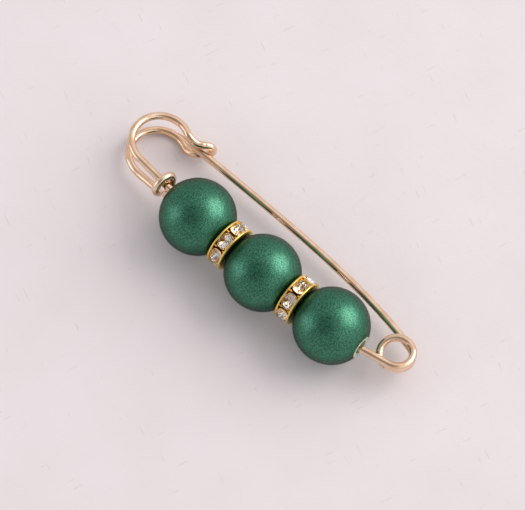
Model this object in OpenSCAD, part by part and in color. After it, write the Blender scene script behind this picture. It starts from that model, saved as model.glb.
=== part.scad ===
// Safety pin brooch lying on a surface: one bent wire, three round beads and two rhinestone spacers.
// Sizes are in millimetres, +Z is up and the surface is z = 0.
// The brooch is drawn flat first: x runs along the bead arm towards the coil, y points from the bead arm
// to the pin, and z, the level, is the height out of the wire's plane. Then it leans about the bead arm
// until the hook touches the surface.

/* [Wire] */
// Diameter of the wire
wire_d = 1.2; // [0.9:0.05:1.3]

/* [Beads] */
// Diameter of each bead
bead_d = 12; // [11:0.5:13]
// Diameter of the hole through a bead
bead_hole_d = 2.4; // [2.2:0.1:2.8]
// Diameter of the unpainted flat round each end of the hole
bead_flat_d = 3.8; // [3.2:0.1:4.4]
// How far the bead arm bows away from the pin at the middle bead
arm_bow = 0.42; // [0.2:0.02:0.8]

/* [Spacers] */
// Outer diameter of a spacer's two plates
spacer_d = 7.7; // [7:0.1:8.2]
// Width of a spacer over its hub, where the beads press on it
spacer_w = 2; // [1.8:0.05:2.6]
// How far each plate's rim stands out from the hub towards the bead
rim_flare = 0.38; // [0.3:0.02:0.44]
// Thickness of a plate at its rim
plate_t = 0.4; // [0.34:0.02:0.46]
// Diameter of the drum behind the stones
drum_d = 4.6; // [4:0.1:4.8]
// Diameter of the hole through a spacer
spacer_hole_d = 1.7; // [1.5:0.05:2.2]
// Number of stones round a spacer
stone_count = 7; // [6:1:8]
// Diameter of a claw between two stones
claw_d = 0.34; // [0.25:0.01:0.4]
// Length of a claw from the inside of its plate
claw_len = 0.45; // [0.3:0.05:0.6]

/* [Stones] */
// Length of a stone round the spacer
stone_len = 2.55; // [2.2:0.05:2.65]
// Share of a stone's outline that its flat table takes
table_share = 0.58; // [0.5:0.01:0.66]
// Height of a stone above its girdle
crown_h = 0.42; // [0.3:0.01:0.46]
// Height of the girdle
girdle_h = 0.14; // [0.1:0.01:0.18]
// Depth of a stone below its girdle
pavilion_h = 0.8; // [0.6:0.01:0.82]

/* [Coil] */
// Straight wire from the last bead's middle to the bend where it leaves the bead
coil_lead = 5.7; // [5.6:0.1:7]
// Turn of that bend, in degrees
mouth_turn = 10; // [7:0.5:12]
// Radius of that bend
mouth_r = 5; // [4:0.5:7]
// How far the wire lies below the bead arm at that bend
mouth_dip = 0.4; // [0.2:0.05:0.5]
// Straight wire from that bend to the coil
coil_run = 4.05; // [3.6:0.05:5]
// Radius of the coil, to the middle of the wire
coil_r = 2.53; // [2.3:0.01:2.9]
// How far the coil lies below the bead arm
coil_dip = 0.65; // [0.5:0.05:0.8]
// Turn of the wire in the coil, in degrees
coil_turn = 512; // [509:0.5:514]

/* [Pin] */
// Length of the pin from the coil to its point
pin_len = 50.4; // [49:0.2:51.4]
// Turn of the pin under the hook's load, in degrees
pin_turn = 14.4; // [13.4:0.1:15.2]
// How far the pin rises from the coil's lower turn to the hook's middle
pin_rise = 0.4; // [0.3:0.02:0.5]
// Length of the sharp point
point_len = 4.5; // [3:0.5:7]
// Diameter of the tip
tip_d = 0.18; // [0.12:0.02:0.4]

/* [Hook] */
// Straight wire between the wrap and the crook
stem_len = 4.35; // [3.8:0.05:5]
// Radius of the crook's first bend
crook_r = 4.7; // [4.4:0.05:5]
// Turn of the crook's first bend, in degrees
crook_turn = 85.2; // [82:0.2:88]
// Radius of the crook's second bend
crown_r = 4.43; // [4.3:0.01:4.6]
// Turn of the crook's second bend, in degrees
crown_turn = 116.4; // [114:0.2:119]
// Radius of the turn that leads the strands out past the pin
flare_r = 2.5; // [2.3:0.05:2.7]
// Turn that leads the strands out past the pin, in degrees
flare_turn = 68; // [64:0.5:71]
// Straight wire before the hook's end
end_len = 0.55; // [0.4:0.05:1]
// Distance between the two strands at the hook's end, to the middles of the wire
end_gap = 2.7; // [2.6:0.05:2.9]
// Distance between the two strands round the crook, to the middles of the wire
strand_gap = 4.3; // [4.1:0.05:4.5]

/* [Wrap] */
// Wire from the end bead's middle to the straight stem, where the lower strand turns in to the wrap
wrap_zone = 8.8; // [8.6:0.05:9.6]
// Turn of the wire on that length, in degrees
stem_turn = 2.4; // [1.8:0.1:3]
// Distance between the two strands where the lower one turns in
tail_gap = 3.5; // [3.3:0.05:3.7]
// Radius of the wrap round the stem, to the middle of the wire
wrap_r = 1.8; // [1.65:0.05:2]
// Radius of the wrap at the wire's cut end
wrap_end_r = 1.35; // [1.32:0.01:1.5]
// Turn of the wrap, in degrees
wrap_turn = 330; // [310:5:345]
// Distance from the end bead's middle at which the wrap starts
wrap_reach = 7.55; // [7.5:0.05:7.9]
// Advance of the wrap along the stem, towards the bead
wrap_advance = 1.2; // [1.15:0.01:1.24]
// How far the wrap's crest lies back from the bead, off an even helix
wrap_skew = 0.45; // [0.2:0.05:0.5]

/* [Hidden] */
$fn = 96;

// Sides of the swept wire
wire_sides = 16;
// Longest step between two rings of the swept wire, and the largest turn in a step
ring_step = 2.4;
ring_turn = 11;
// Air between a stone and its setting, between a bead and a spacer, and between the coil's turns
stone_gap = 0.04;
seat_gap = 0.1;
turn_gap = 0.1;
// Air between the two ends of the wire where the pin's turn meets the frame's
split_gap = 0.06;
// Turns in the coil at which the wire starts to drop, has dropped, and passes from the frame to the pin
drop_start_turn = 180;
drop_end_turn = 320;
split_turn = 348;
// How far the lower turn sits out from the upper one: along the arm, and towards the pin
lower_shift = [-0.1, 0.25];
// Drop of the lower turn from where it starts to where the pin leaves
lower_fall = 0.13;
// Stretches that the pin's bend and its sharp point are drawn in
pin_steps = 10;
point_steps = 5;
// How much further the strands lie apart, on each side, where the hook's last straight starts
flare_rise = 0.1;
// Share of the lower strand's rise to the wrap that the crook's first bend makes
rise_share = 1 / 3;
// Angle round the stem at which the wrap starts: 0 is towards the pin and 90 is up
wrap_start_angle = 205;
// Reach of the two tangents that shape the lead-in to the wrap, and its steps
lead_in = 1.2;
lead_out = 1.3;
lead_steps = 9;
// Facets of a stone round its table; its girdle has twice as many
table_sides = 8;
// Direction of the first stone of each spacer: 0 is towards the pin and 90 is up
stone_phase = [116, 133];
// Exponent of a stone's outline: 2 is an oval, and more gives it fuller corners
stone_fullness = 3;
// Depth of a claw's middle below the plate's edge
claw_sink = 0.6;
// Radius at which a plate has flared out half of the way
flare_mid_r = 2.5;
// How far the rim's crest lies in from the plate's edge, and the share of its thickness that is rounded
crest_in = 0.5;
rim_round_share = 0.6;

wire_r = wire_d / 2;
bead_r = bead_d / 2;
// Distance from a bead's middle to the flat round its hole
bead_half = sqrt(bead_r * bead_r - bead_flat_d * bead_flat_d / 4);
// Distance between the middles of neighbouring beads, along the arm
bead_pitch = 2 * bead_half + spacer_w + 2 * seat_gap;
// The arm is an arc through the three beads' middles
arm_r = (bead_pitch * bead_pitch + arm_bow * arm_bow) / (2 * arm_bow);
arm_turn = asin(bead_pitch / arm_r);
// Levels of the coil's lower turn, of the pin's point and of the hook's upper and lower strand
lower_level = -coil_dip - wire_d - turn_gap;
pin_level = lower_level - lower_fall + pin_rise;
strand_level = [pin_level + strand_gap / 2, pin_level - strand_gap / 2];
tail_level = strand_level[0] - tail_gap;
// Stones sit in the channel between the plates
channel_w = spacer_w + 2 * rim_flare - 2 * plate_t;
stone_w = channel_w - 2 * stone_gap;
stone_top = spacer_d / 2 - stone_gap;

// An S-curve from 0 to 1
function ease(t) = let (c = min(1, max(0, t))) c * c * (3 - 2 * c);

function unit(v) = v / norm(v);

function reversed(list) = [for (i = [len(list) - 1 : -1 : 0]) list[i]];

// Place and heading [x, y, heading] after driving a length while turning left
function drive(p, length, turn) =
    abs(turn) < 1e-6
        ? [p[0] + length * cos(p[2]), p[1] + length * sin(p[2]), p[2]]
        : let (r = length / (turn * PI / 180), h = p[2] + turn)
          [p[0] + r * (sin(h) - sin(p[2])), p[1] - r * (cos(h) - cos(p[2])), h];

// A stretch of wire is [length, turn to the left in degrees, level at its end]
function run(length, level) = [length, 0, level];
function bend(radius, turn, level) = [radius * abs(turn) * PI / 180, turn, level];

// Place and heading after all stretches
function place_after(p, parts, i = 0) =
    i == len(parts) ? p : place_after(drive(p, parts[i][0], parts[i][1]), parts, i + 1);

// Rings that a stretch is drawn with, two or more
function rings(part) = ceil(max(2, part[0] / ring_step, abs(part[1]) / ring_turn));

// Points along the stretches, without the point they start from
function trace(p, level, parts, i = 0) =
    i == len(parts)
        ? []
        : let (part = parts[i], n = rings(part))
          concat(
              [for (k = [1:n])
                  let (q = drive(p, part[0] * k / n, part[1] * k / n))
                  [q[0], q[1], level + (part[2] - level) * ease(k / n)]],
              trace(drive(p, part[0], part[1]), part[2], parts, i + 1));

// Place and heading on the bead arm at an angle of its arc, going towards the coil
function arm_place(a) = [arm_r * sin(a), arm_r - arm_bow - arm_r * cos(a), a];

// The coil's side, from the last bead's middle
last_bead = arm_place(arm_turn);
lead_parts = [
    run(coil_lead, -mouth_dip),
    bend(mouth_r, mouth_turn, -mouth_dip),
    run(coil_run, -coil_dip)];
coil_start = place_after(last_bead, lead_parts);
coil_centre = [
    coil_start[0] - coil_r * sin(coil_start[2]),
    coil_start[1] + coil_r * cos(coil_start[2])];

// Point of the coil after a turn from its start
function coil_point(t) =
    let (
        h = coil_start[2] + t,
        drop = ease((t - drop_start_turn) / (drop_end_turn - drop_start_turn)),
        fall = ease((t - split_turn) / (coil_turn - split_turn)))
    [coil_centre[0] + coil_r * sin(h) + lower_shift[0] * drop,
     coil_centre[1] - coil_r * cos(h) + lower_shift[1] * drop,
     -coil_dip + (lower_level + coil_dip) * drop - lower_fall * fall];

// Points of the coil between two turns
function coil_points(t0, t1) =
    let (n = ceil((t1 - t0) / ring_turn))
    [for (k = [0:n]) coil_point(t0 + (t1 - t0) * k / n)];

// Turn in the coil that takes half of the split
split_half = split_gap / 2 / coil_r * 180 / PI;

// The pin, from where it leaves the coil; it bends most near the coil, as a loaded spring does
coil_end = [coil_point(coil_turn)[0], coil_point(coil_turn)[1], coil_start[2] + coil_turn];
pin_marks = concat(
    [for (k = [0:pin_steps]) (pin_len - point_len) * k / pin_steps],
    [for (k = [1:point_steps]) pin_len - point_len + point_len * k / point_steps]);
function pin_heading(s) = pin_turn * (1 - pow(1 - s / pin_len, 3));
pin_parts = [for (i = [1:len(pin_marks) - 1])
    [pin_marks[i] - pin_marks[i - 1],
     pin_heading(pin_marks[i]) - pin_heading(pin_marks[i - 1]),
     lower_level - lower_fall + pin_rise * pin_marks[i] / pin_len]];

// Radius of the pin at a distance from the coil, round until the point and then drawn in to the tip
function pin_radius(s) =
    let (u = min(1, (pin_len - s) / point_len))
    tip_d / 2 + (wire_r - tip_d / 2) * (1 - pow(1 - u, 2));

// The hook's side, from the end bead's middle; strand 0 is the upper one and strand 1 the lower
end_bead = [arm_place(-arm_turn)[0], arm_place(-arm_turn)[1], 180 - arm_turn];
zone_part = [wrap_zone, -stem_turn, strand_level[0]];
stem_start = place_after(end_bead, [zone_part]);
tail_start = [stem_start[0], stem_start[1], tail_level];
function crook_parts(strand) =
    let (
        level = strand_level[strand],
        side = 1 - 2 * strand)
    [run(stem_len, level + strand * rise_share * (tail_level - level)),
     bend(crook_r, -crook_turn, level),
     bend(crown_r, -crown_turn, level),
     bend(flare_r, flare_turn, pin_level + side * (end_gap / 2 + flare_rise)),
     run(end_len, pin_level + side * end_gap / 2)];

// Points of the half turn from the upper strand's end down to the lower one's
function end_points() =
    let (
        p = place_after(stem_start, crook_parts(0)),
        n = ceil(180 / ring_turn))
    [for (k = [1:n - 1])
        let (a = 90 - 180 * k / n, out = cos(a) * end_gap / 2)
        [p[0] + out * cos(p[2]), p[1] + out * sin(p[2]), pin_level + sin(a) * end_gap / 2]];

// Point at a distance from the end bead's middle, and at an angle and a radius round the stem there
function round_stem(s, a, r) =
    let (
        p = drive(end_bead, s, -stem_turn * s / wrap_zone),
        level = strand_level[0] * ease(s / wrap_zone))
    [p[0] + r * cos(a) * sin(p[2]), p[1] - r * cos(a) * cos(p[2]), level + r * sin(a)];

// Point of the wrap, where t goes from 0 at its start to 1 at the cut end
function wrap_point(t) =
    round_stem(
        wrap_reach - wrap_advance * t + wrap_skew * sin(180 * t),
        wrap_start_angle - wrap_turn * t,
        wrap_r + (wrap_end_r - wrap_r) * ease(t));

wrap_steps = ceil(wrap_turn / ring_turn);

// Points of the lead-in, a curve with four control points from the lower strand's end to the wrap's start
function lead_points() =
    let (
        along = [cos(stem_start[2]), sin(stem_start[2]), 0],
        a = tail_start - lead_in * along,
        b = wrap_point(0) - lead_out * unit(wrap_point(1 / wrap_steps) - wrap_point(0)))
    [for (k = [1:lead_steps - 1])
        let (t = k / lead_steps, u = 1 - t)
        u * u * u * tail_start + 3 * t * u * u * a + 3 * t * t * u * b + t * t * t * wrap_point(0)];

arm_steps = ceil(2 * bead_pitch / ring_step);

frame_path = concat(
    reversed(coil_points(0, split_turn - split_half)),
    [for (p = reversed(trace(last_bead, 0, lead_parts))) if (norm(p - coil_point(0)) > stone_gap) p],
    [for (k = [0:arm_steps])
        let (p = arm_place(arm_turn * (1 - 2 * k / arm_steps)))
        [p[0], p[1], 0]],
    trace(end_bead, 0, concat([zone_part], crook_parts(0))),
    end_points(),
    reversed(trace(stem_start, tail_level, crook_parts(1))),
    [tail_start],
    lead_points(),
    [for (k = [0:wrap_steps]) wrap_point(k / wrap_steps)]);

lower_turn_points = coil_points(split_turn + split_half, coil_turn);
pin_path = concat(lower_turn_points, trace(coil_end, lower_level - lower_fall, pin_parts));
pin_radii = concat(
    [for (p = lower_turn_points) wire_r],
    [for (i = [0:len(pin_parts) - 1])
        let (part = pin_parts[i], n = rings(part))
        for (k = [1:n]) pin_radius(pin_marks[i] + part[0] * k / n)]);

// The lean is the least turn about the bead arm that brings a point of the wire down to the surface
lean = min([for (p = frame_path)
    let (reach = norm([p[1], p[2]]))
    if (reach > bead_r - wire_r) asin((bead_r - wire_r) / reach) - atan2(-p[2], p[1])]);

// Middle of the brooch on the surface, in the direction of the arm and across it
path_x = [for (p = frame_path) p[0]];
path_y = [for (p = concat(frame_path, pin_path)) p[1] * cos(lean) + p[2] * sin(lean)];
middle_x = (min(path_x) + max(path_x)) / 2;
middle_y = (max(path_y) + wire_r - arm_bow * cos(lean) - bead_r) / 2;

// Leans the flat drawing and stands it on the surface, centred
module laid() {
    translate([-middle_x, -middle_y, bead_r])
        rotate([-lean, 0, 0])
            children();
}

// Puts its children on the bead arm, with x along the arm; 0 is the middle bead and 1 the last one
module on_arm(share) {
    p = arm_place(arm_turn * share);
    translate([p[0], p[1], 0])
        rotate([0, 0, p[2]])
            children();
}

// A direction mirrored about another one; it carries an arc's direction on to the arc's end
function mirrored(v, about) = 2 * (v * about) * about - v;

// A direction square to the wire, carried on from the last ring's without twist
function carried(v, along) = unit(v - (v * along) * along);

// Round wire swept along a path, with a radius at each point
module wire(path, radii) {
    n = len(path);
    steps = [for (i = [1:n - 1]) unit(path[i] - path[i - 1])];
    inner = [for (i = [1:n - 2]) unit(steps[i - 1] + steps[i])];
    along = concat(
        [mirrored(inner[0], steps[0])],
        inner,
        [mirrored(inner[n - 3], steps[n - 2])]);
    side = [for (i = 0, v = unit(cross(along[0], [0, 0, 1]));
                 i < n;
                 i = i + 1, v = carried(v, along[min(i, n - 1)])) v];
    points = [for (i = [0:n - 1])
        let (up = cross(along[i], side[i]))
        for (j = [0:wire_sides - 1])
            let (a = 360 * j / wire_sides)
            path[i] + radii[i] * (cos(a) * side[i] + sin(a) * up)];
    faces = concat(
        [[for (j = [0:wire_sides - 1]) j]],
        [for (i = [0:n - 2]) for (j = [0:wire_sides - 1])
            let (k = (j + 1) % wire_sides, here = i * wire_sides, next = here + wire_sides)
            [here + j, next + j, next + k, here + k]],
        [[for (j = [wire_sides - 1:-1:0]) (n - 1) * wire_sides + j]]);
    polyhedron(points, faces);
}

// Coil's upper turn, bead arm, hook and wrap
module frame_wire() {
    color("#c9a88a")
        laid()
            wire(frame_path, [for (p = frame_path) wire_r]);
}

// Coil's lower turn and the pin
module pin_arm() {
    color("#d2b294")
        laid()
            wire(pin_path, pin_radii);
}

// Round bead with a hole and a flat round each end of it
module bead(i) {
    color("#2f7355")
        laid() on_arm(i - 2)
            rotate([0, 90, 0])
                rotate_extrude()
                    intersection() {
                        circle(bead_r);
                        translate([bead_hole_d / 2, -bead_half])
                            square([bead_r, 2 * bead_half]);
                    }
}

// Half of a spacer's section, with the distance from its axis first and the height above its middle second
function half_section() = concat(
    [[spacer_hole_d / 2, 0],
     [spacer_hole_d / 2, spacer_w / 2],
     [bead_flat_d / 2, spacer_w / 2],
     [flare_mid_r, (spacer_w + rim_flare) / 2]],
    [for (a = [0:30:90])
        [spacer_d / 2 - crest_in * (1 - sin(a)),
         spacer_w / 2 + rim_flare - rim_round_share * plate_t * (1 - cos(a))]],
    [[spacer_d / 2, channel_w / 2],
     [drum_d / 2, channel_w / 2],
     [drum_d / 2, 0]]);

// Two plates with rounded rims on a drum, and claws that reach in between the stones
module spacer(i) {
    color("#d6a03c")
        laid() on_arm(i - 1.5)
            union() {
                rotate([0, 90, 0])
                    for (up = [0, 1])
                        mirror([0, 0, up])
                            rotate_extrude()
                                polygon(half_section());
                for (k = [1:stone_count], side = [-1, 1])
                    rotate([stone_phase[i - 1] + 360 * (k - 0.5) / stone_count, 0, 0])
                        translate([side * (channel_w / 2 + plate_t / 2), spacer_d / 2 - claw_sink, 0])
                            rotate([0, -90 * side, 0])
                                cylinder(h = claw_len + plate_t / 2, d = claw_d, $fn = 24);
            }
}

// Cosine or sine of an angle, moved out for the fuller outline
function fuller(c) = sign(c) * pow(abs(c), 2 / stone_fullness);

// Ring of points across a stone, an oval with full corners
function stone_ring(share, height, count, turn) = [for (j = [0:count - 1])
    let (a = 360 * (j + turn) / count)
    [share * stone_w / 2 * fuller(cos(a)), share * stone_len / 2 * fuller(sin(a)), height]];

// Cushion-shaped brilliant with its table up and its middle at the top of the girdle
module brilliant() {
    n = 2 * table_sides;
    top = table_sides;
    low = top + n;
    points = concat(
        stone_ring(table_share, crown_h, table_sides, 0.5),
        stone_ring(1, 0, n, 0),
        stone_ring(1, -girdle_h, n, 0),
        [[0, 0, -girdle_h - pavilion_h]]);
    polyhedron(points, concat(
        [[for (j = [table_sides - 1:-1:0]) j]],
        [for (j = [0:table_sides - 1])
            let (next = (j + 1) % table_sides, g = top + 2 * j, g_next = top + (2 * j + 2) % n)
            each [[j, g + 1, g], [j, g_next, g + 1], [j, next, g_next]]],
        [for (j = [0:n - 1]) let (k = (j + 1) % n) [top + j, top + k, low + k, low + j]],
        [for (j = [0:n - 1]) let (k = (j + 1) % n) [low + j, low + k, low + n]]));
}

// Stone number k of spacer i
module stone(i, k) {
    color("#dfe6ee")
        laid() on_arm(i - 1.5)
            rotate([stone_phase[i - 1] - 90 + 360 * (k - 1) / stone_count, 0, 0])
                translate([0, 0, stone_top - crown_h])
                    brilliant();
}

frame_wire();
pin_arm();
for (i = [1:3])
    bead(i);
for (i = [1:2])
    spacer(i);
for (i = [1:2], k = [1:stone_count])
    stone(i, k);
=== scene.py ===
"""Safety pin brooch: the looks of its bent wire, satin beads and rhinestone spacers.

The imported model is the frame. Every piece made here stands for a CAD node of the same place and size.
Lengths are in millimetres until a mesh is made. The wire is drawn flat first: x runs along the bead
arm towards the coil, y points from the bead arm to the pin, and z, the level, is the height out of
the wire's plane. Then it leans about the bead arm until the hook touches the surface.
"""

import logging
from dataclasses import dataclass, field
from enum import Enum

import bpy
import numpy as np
from mathutils import Matrix, Vector


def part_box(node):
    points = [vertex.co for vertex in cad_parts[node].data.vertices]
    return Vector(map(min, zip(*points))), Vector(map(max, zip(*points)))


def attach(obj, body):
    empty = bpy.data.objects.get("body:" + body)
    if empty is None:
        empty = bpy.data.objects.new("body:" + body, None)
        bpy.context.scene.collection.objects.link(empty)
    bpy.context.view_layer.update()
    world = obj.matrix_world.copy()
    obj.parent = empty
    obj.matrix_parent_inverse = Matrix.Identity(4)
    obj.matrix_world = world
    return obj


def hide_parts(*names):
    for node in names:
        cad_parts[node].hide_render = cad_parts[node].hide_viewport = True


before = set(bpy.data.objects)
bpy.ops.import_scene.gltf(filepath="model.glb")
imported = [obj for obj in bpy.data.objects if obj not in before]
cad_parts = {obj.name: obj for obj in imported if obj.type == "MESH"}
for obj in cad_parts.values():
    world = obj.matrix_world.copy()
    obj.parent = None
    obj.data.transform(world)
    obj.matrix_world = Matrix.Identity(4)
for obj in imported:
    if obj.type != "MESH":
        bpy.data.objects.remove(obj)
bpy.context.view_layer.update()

logging.basicConfig(level=logging.INFO, format="%(message)s")
log = logging.getLogger("brooch")

MM = 0.001
# Width and height of the picture, in pixels
PICTURE = (525, 510)
# Name of the point attribute that holds a piece's own coordinates in millimetres
OWN = "own_mm"
# A turn in degrees and a length in millimetres that are too small to matter, but not zero
TINY_TURN = 1e-7
TINY_LENGTH = 1e-9

Array = np.ndarray
Tree = bpy.types.NodeTree
Socket = bpy.types.NodeSocket
Pair = tuple[float, float]
Triple = tuple[float, float, float]
Colour = tuple[float, float, float, float]
Settings = dict[str | int, object]
Links = dict[str | int, Socket]


class Strand(Enum):
    """The two strands of the hook; the value counts down from the upper one."""

    UPPER = 0
    LOWER = 1


class Side(Enum):
    """The two sides of a spacer; the value points along the bead arm."""

    HOOK = -1
    COIL = 1


# Small formulas


def ease(t: Array | float) -> Array | float:
    """An S-curve from 0 to 1: 3 t squared less 2 t cubed, flat outside 0 to 1."""
    c = np.clip(t, 0, 1)
    return c * c * (3 - 2 * c)


def unit(v: Array) -> Array:
    """Vectors of length 1 along the last axis."""
    return v / np.linalg.norm(v, axis=-1, keepdims=True)


def sin_cos(degrees: Array | float) -> tuple[Array, Array]:
    """Sine and cosine of an angle in degrees."""
    return np.sin(np.radians(degrees)), np.cos(np.radians(degrees))


def distances(line: Array) -> Array:
    """Distance along a line of points from its first one."""
    return np.concatenate([[0], np.cumsum(np.linalg.norm(np.diff(line, axis=0), axis=1))])


def arc(centre: Pair, radius: float, start: float, end: float, steps: int) -> Array:
    """Points of a plane arc: centre + radius (cos a, sin a), for a from start to end in degrees."""
    s, c = sin_cos(np.linspace(start, end, steps))
    return np.stack([centre[0] + radius * c, centre[1] + radius * s], -1)


# Surfaces


@dataclass
class Surface:
    """Points in millimetres, the own coordinates that patterns follow, and the faces.

    Each block of faces is an array with one row a face, and has one shading and one finish.
    """

    points: Array
    own: Array
    faces: list[Array] = field(default_factory=list)
    smooth: list[bool] = field(default_factory=list)
    finish: list[int] = field(default_factory=list)

    def add(self, faces: Array, smooth: bool = True, finish: int = 0) -> "Surface":
        """Adds a block of faces.

        Args:
            faces: point numbers, one row a face, turning left as seen from outside.
            smooth: whether the block is shaded smooth.
            finish: number of the block's finish on the piece.

        Returns:
            The surface itself.
        """
        self.faces.append(faces)
        self.smooth.append(smooth)
        self.finish.append(finish)
        return self

    def moved(self, points: Array, own: Array) -> "Surface":
        """The same faces on other points and own coordinates."""
        return Surface(points, own, self.faces, self.smooth, self.finish)


def joined(parts: list[Surface]) -> Surface:
    """Joins surfaces, with the point numbers of the later ones moved up.

    Args:
        parts: the surfaces.

    Returns:
        One surface.
    """
    whole = Surface(np.vstack([p.points for p in parts]), np.vstack([p.own for p in parts]))
    start = 0
    for part in parts:
        for faces, smooth, finish in zip(part.faces, part.smooth, part.finish):
            whole.add(faces + start, smooth, finish)
        start += len(part.points)
    return whole


def grid_faces(rows: int, columns: int, closed_rows: bool = False) -> Array:
    """Quads of a grid whose columns close on themselves.

    Point (i, j) has number i * columns + j, and a quad joins it to its next row and column.

    Args:
        rows: number of rows.
        columns: number of points in a row, which is a closed ring.
        closed_rows: whether the last row joins the first.

    Returns:
        Point numbers, four to a face.
    """
    i, j = np.meshgrid(np.arange(rows if closed_rows else rows - 1), np.arange(columns), indexing="ij")
    here, below = i * columns, (i + 1) % rows * columns
    nxt = (j + 1) % columns
    return np.stack([here + j, here + nxt, below + nxt, below + j], -1).reshape(-1, 4)


def make_piece(name: str, surface: Surface, finishes: list[bpy.types.Material]) -> bpy.types.Object:
    """A mesh object at the origin, with its place in its points.

    Args:
        name: the piece's name.
        surface: what it is made of.
        finishes: its materials, in the order of the surface's finish numbers.

    Returns:
        The object, linked to the scene.
    """
    mesh = bpy.data.meshes.new(name)
    faces = [row for block in surface.faces for row in block.tolist()]
    mesh.from_pydata((surface.points * MM).tolist(), [], faces)
    sizes = [len(block) for block in surface.faces]
    mesh.polygons.foreach_set("use_smooth", np.repeat(surface.smooth, sizes))
    for material in finishes:
        mesh.materials.append(material)
    mesh.polygons.foreach_set("material_index", np.repeat(surface.finish, sizes).astype(np.int32))
    own = mesh.attributes.new(OWN, "FLOAT_VECTOR", "POINT")
    own.data.foreach_set("vector", surface.own.astype(np.float32).ravel())
    mesh.update()
    piece = bpy.data.objects.new(name, mesh)
    bpy.context.scene.collection.objects.link(piece)
    return piece


def transported(along: Array) -> Array:
    """Directions square to a line of headings, carried along it without twist.

    Each direction is the last one less its part along the new heading, made length 1 again. It is a
    recurrence, so it runs ring by ring; the points of the rings are worked out all at once.

    Args:
        along: the headings, one row a ring.

    Returns:
        One direction a ring.
    """
    sides = np.empty_like(along)
    side = unit(np.cross(along[0], [0.0, 0.0, 1.0]))
    for i, heading in enumerate(along):
        side = side - side.dot(heading) * heading
        side /= np.sqrt(side.dot(side))
        sides[i] = side
    return sides


def swept(line: Array, radii: Array, sides: int) -> Surface:
    """Round wire along a line.

    The point of ring i at angle a is line[i] + radius[i] (cos a side + sin a up), where up is the
    heading crossed with the side. The own coordinates are the distance along the wire and the two
    distances from its middle.

    Args:
        line: middle of the wire, one row a ring.
        radii: radius at each ring.
        sides: number of points round a ring.

    Returns:
        The closed surface, with a flat face at each end.
    """
    along = unit(np.gradient(line, distances(line), axis=0, edge_order=2))
    side = transported(along)
    up = np.cross(along, side)
    a = np.linspace(0, 2 * np.pi, sides, endpoint=False)
    across = radii[:, None] * np.cos(a), radii[:, None] * np.sin(a)
    points = line[:, None] + across[0][..., None] * side[:, None] + across[1][..., None] * up[:, None]
    reach = np.broadcast_to(distances(line)[:, None], across[0].shape)
    own = np.stack([reach, *across], -1)
    ring = np.arange(sides)[None]
    wire = Surface(points.reshape(-1, 3), own.reshape(-1, 3)).add(grid_faces(len(line), sides))
    return wire.add(ring[:, ::-1], smooth=False).add(ring + (len(line) - 1) * sides, smooth=False)


def turned(profile: Array, count: int) -> Surface:
    """A profile turned about the x axis: x stays, y = r cos a and z = r sin a.

    Args:
        profile: closed ring of points (x, r), turning right with x to the right and r up.
        count: number of steps round the axis.

    Returns:
        The closed surface in the piece's own frame.
    """
    a = np.linspace(0, 2 * np.pi, count, endpoint=False)
    x = np.broadcast_to(profile[:, :1], (len(profile), count))
    points = np.stack([x, profile[:, 1:] * np.cos(a), profile[:, 1:] * np.sin(a)], -1).reshape(-1, 3)
    return Surface(points, points).add(grid_faces(len(profile), count, closed_rows=True))


# The bent wire's route


@dataclass(frozen=True)
class Stretch:
    """A stretch of wire: its length, its turn to the left in degrees, and the level at its end."""

    length: float
    turn: float
    level: float

    @staticmethod
    def bend(radius: float, turn: float, level: float) -> "Stretch":
        """A stretch from its radius: the length is the radius times the turn in radians."""
        return Stretch(radius * abs(np.radians(turn)), turn, level)


def drive(start: Array, length: Array | float, turn: Array | float) -> Array:
    """Place and heading after driving a length while turning left.

    With r = length / turn in radians, x grows by r (sin h1 - sin h0) and y by r (cos h0 - cos h1).
    A straight is an arc of a very small turn.

    Args:
        start: x, y and heading in degrees.
        length: how far, one number or an array.
        turn: turn on that length in degrees, of the same form.

    Returns:
        One row (x, y, heading) for each length.
    """
    length = np.atleast_1d(length)
    turn = np.broadcast_to(np.where(np.abs(turn) < TINY_TURN, TINY_TURN, turn), length.shape)
    r = np.where(length > 0, length, TINY_LENGTH) / np.radians(turn)
    (s0, c0), (s1, c1) = sin_cos(start[2]), sin_cos(start[2] + turn)
    return np.stack([start[0] + r * (s1 - s0), start[1] - r * (c1 - c0), start[2] + turn], -1)


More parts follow.
